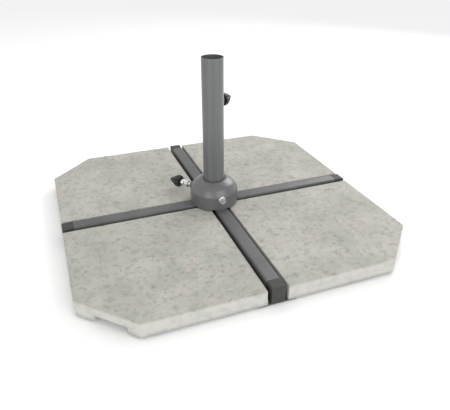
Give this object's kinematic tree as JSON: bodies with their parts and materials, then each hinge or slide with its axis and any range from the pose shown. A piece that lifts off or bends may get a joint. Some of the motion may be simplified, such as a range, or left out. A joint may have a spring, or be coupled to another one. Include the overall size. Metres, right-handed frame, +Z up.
{
  "type": "parasol base",
  "caption": "Cross-shaped steel parasol base weighted with stone slabs, with a round tube that turns in a domed hub and clamp knobs for the tube and the pole.",
  "frame": {"origin": "centre of the base at floor level, on the axis of the stand tube", "axes": "+Z up along the stand tube, +X along the right arm, -Y along the front arm"},
  "size_m": [1, 1, 0.53],
  "materials": {
    "grey_powder_coat": "satin powder coat, mid grey",
    "granite": "flame-textured grey-beige granite, matt, fine pitted grain",
    "zinc_plated_steel": "bright zinc plate",
    "dark_grey_plastic": "fine-grained moulded plastic, dark grey",
    "black_plastic": "satin moulded plastic, black",
    "rubber": "matt",
    "nylon": "smooth moulded nylon, black"
  },
  "bodies": {
    "frame": {"base_plate": "grey_powder_coat", "socket_tube": "grey_powder_coat", "hub_cover": "grey_powder_coat", "hub_lug_front": "grey_powder_coat", "hub_lug_rear": "grey_powder_coat", "hub_stub_front": "grey_powder_coat", "arm_front": "grey_powder_coat", "support_strip_front": "grey_powder_coat", "arm_connector_front": "zinc_plated_steel", "arm_end_cap_front": "dark_grey_plastic", "hub_stub_right": "grey_powder_coat", "arm_right": "grey_powder_coat", "support_strip_right": "grey_powder_coat", "arm_connector_right": "zinc_plated_steel", "arm_end_cap_right": "dark_grey_plastic", "hub_stub_rear": "grey_powder_coat", "arm_rear": "grey_powder_coat", "support_strip_rear": "grey_powder_coat", "arm_connector_rear": "zinc_plated_steel", "arm_end_cap_rear": "dark_grey_plastic", "hub_stub_left": "grey_powder_coat", "arm_left": "grey_powder_coat", "support_strip_left": "grey_powder_coat", "arm_connector_left": "zinc_plated_steel", "arm_end_cap_left": "dark_grey_plastic", "end_cap_screws": "zinc_plated_steel", "arm_bolts": "zinc_plated_steel", "arm_nuts": "zinc_plated_steel", "hub_bolts": "zinc_plated_steel", "hub_washers": "zinc_plated_steel", "lower_bush": "nylon", "upper_bush": "nylon", "floor_pads": "rubber"},
    "ballast_front_left": {"slab_front_left": "granite", "slab_feet_front_left": "rubber"},
    "ballast_front_right": {"slab_front_right": "granite", "slab_feet_front_right": "rubber"},
    "ballast_rear_right": {"slab_rear_right": "granite", "slab_feet_rear_right": "rubber"},
    "ballast_rear_left": {"slab_rear_left": "granite", "slab_feet_rear_left": "rubber"},
    "swivel": {"thrust_washer": "nylon"},
    "stand": {"stand_tube": "grey_powder_coat", "tube_foot_plug": "nylon", "upper_clamp_boss": "grey_powder_coat"},
    "lower_pad": {"lower_pressure_pad": "nylon"},
    "lower_clamp": {"lower_clamp_stud": "zinc_plated_steel", "lower_clamp_knob": "black_plastic", "lower_clamp_washer": "zinc_plated_steel", "lower_clamp_nut": "zinc_plated_steel"},
    "upper_pad": {"upper_pressure_pad": "nylon"},
    "upper_clamp": {"upper_clamp_stud": "zinc_plated_steel", "upper_clamp_knob": "black_plastic"}
  },
  "joints": [
    {"name": "slide_front_left", "type": "slide", "parent": "frame", "child": "ballast_front_left", "axis": [-0.7071, -0.7071, 0], "range_m": [0, 0.25]},
    {"name": "slide_front_right", "type": "slide", "parent": "frame", "child": "ballast_front_right", "axis": [0.7071, -0.7071, 0], "range_m": [0, 0.25]},
    {"name": "slide_rear_right", "type": "slide", "parent": "frame", "child": "ballast_rear_right", "axis": [0.7071, 0.7071, 0], "range_m": [0, 0.25]},
    {"name": "slide_rear_left", "type": "slide", "parent": "frame", "child": "ballast_rear_left", "axis": [-0.7071, 0.7071, 0], "range_m": [0, 0.25]},
    {"name": "stand_turn", "type": "hinge", "parent": "frame", "child": "swivel", "pos_m": [0, 0, 0], "axis": [0, 0, 1], "continuous": true},
    {"name": "stand_lift", "type": "slide", "parent": "swivel", "child": "stand", "axis": [0, 0, 1], "range_m": [0, 0.125]},
    {"name": "lower_pad_travel", "type": "slide", "parent": "frame", "child": "lower_pad", "axis": [-0.6157, 0.788, 0], "range_m": [0, 0.007]},
    {"name": "lower_knob_turn", "type": "hinge", "parent": "lower_pad", "child": "lower_clamp", "pos_m": [-0.09235, 0.1182, 0.086], "axis": [-0.6157, 0.788, 0], "range_deg": [0, 1440]},
    {"name": "upper_pad_travel", "type": "slide", "parent": "stand", "child": "upper_pad", "axis": [0.8387, 0.5446, 0], "range_m": [-0.0042, 0]},
    {"name": "upper_knob_turn", "type": "hinge", "parent": "upper_pad", "child": "upper_clamp", "pos_m": [0.04193, 0.02723, 0.39], "axis": [0.8387, 0.5446, 0], "range_deg": [-864, 0]}
  ],
  "couplings": [
    {"joint": "lower_knob_turn", "follows": "lower_pad_travel", "rad_per_m": 3590.4},
    {"joint": "upper_knob_turn", "follows": "upper_pad_travel", "rad_per_m": 3590.4}
  ]
}
